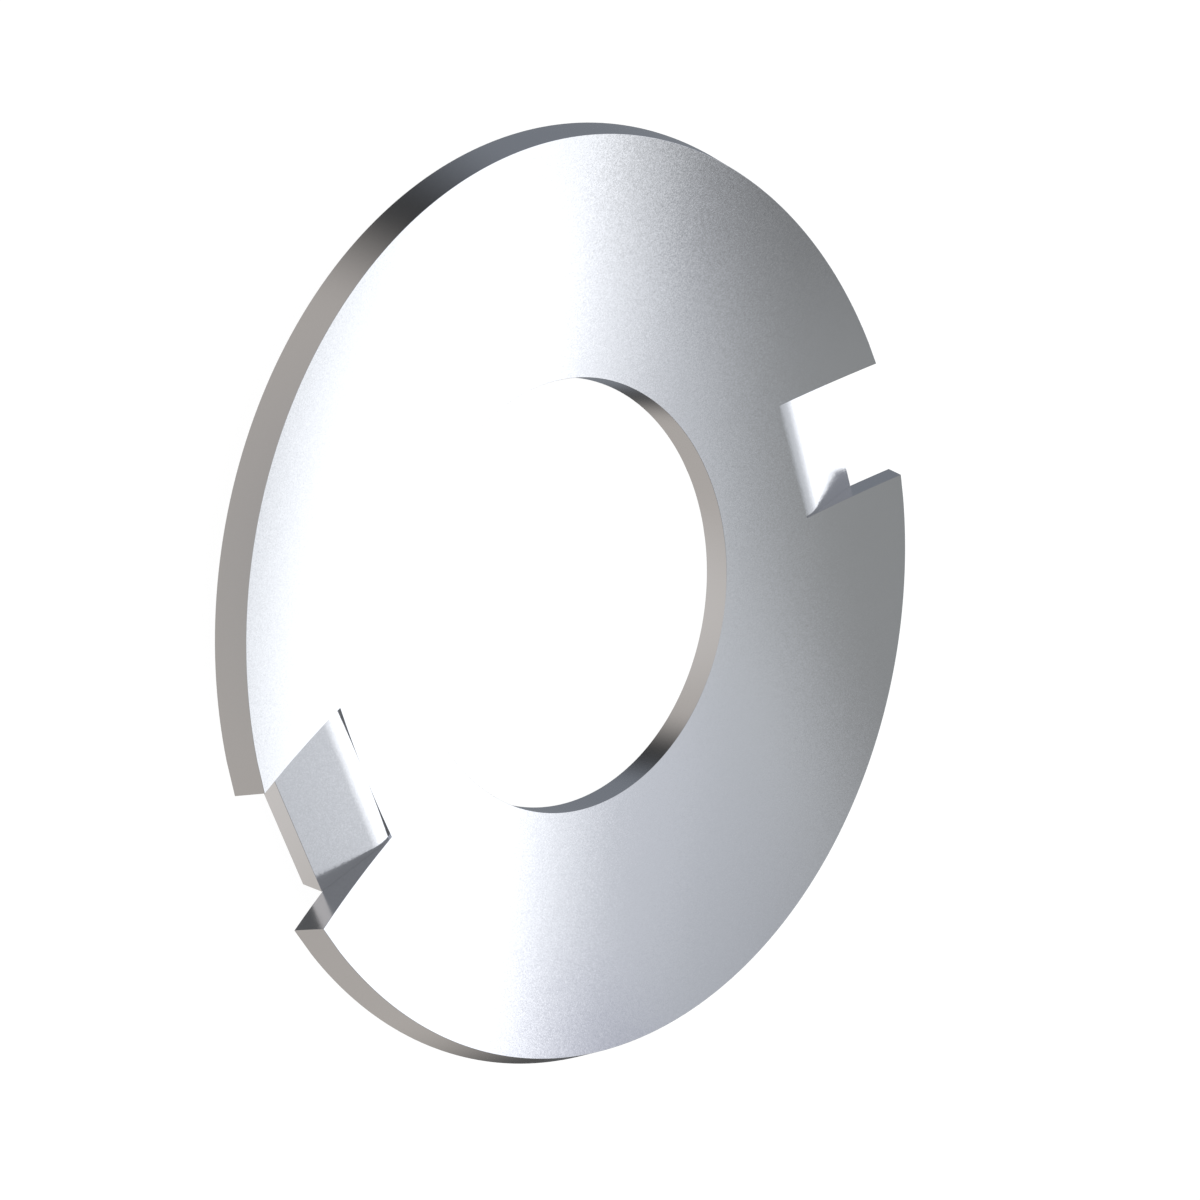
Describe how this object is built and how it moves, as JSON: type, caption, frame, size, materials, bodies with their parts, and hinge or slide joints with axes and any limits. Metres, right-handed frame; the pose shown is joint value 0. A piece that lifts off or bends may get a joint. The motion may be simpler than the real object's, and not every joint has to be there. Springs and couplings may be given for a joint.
{
  "type": "thrust washer",
  "caption": "Dished thrust washer of hardened steel with a plain bore and opposite rim slots, each holding a locking tab bent back towards the convex side.",
  "frame": {"origin": "on the axis of the bore, at the level of the bore's lower edge, on which the washer rests", "axes": "+Z along the axis of the bore towards the concave side; the two slots and their tabs lie along +X and -X"},
  "size_m": [0.0632, 0.064, 0.0076],
  "materials": {
    "steel": "hardened sheet steel, satin polished"
  },
  "bodies": {
    "root": {"thrust_washer": "steel"}
  },
  "joints": []
}
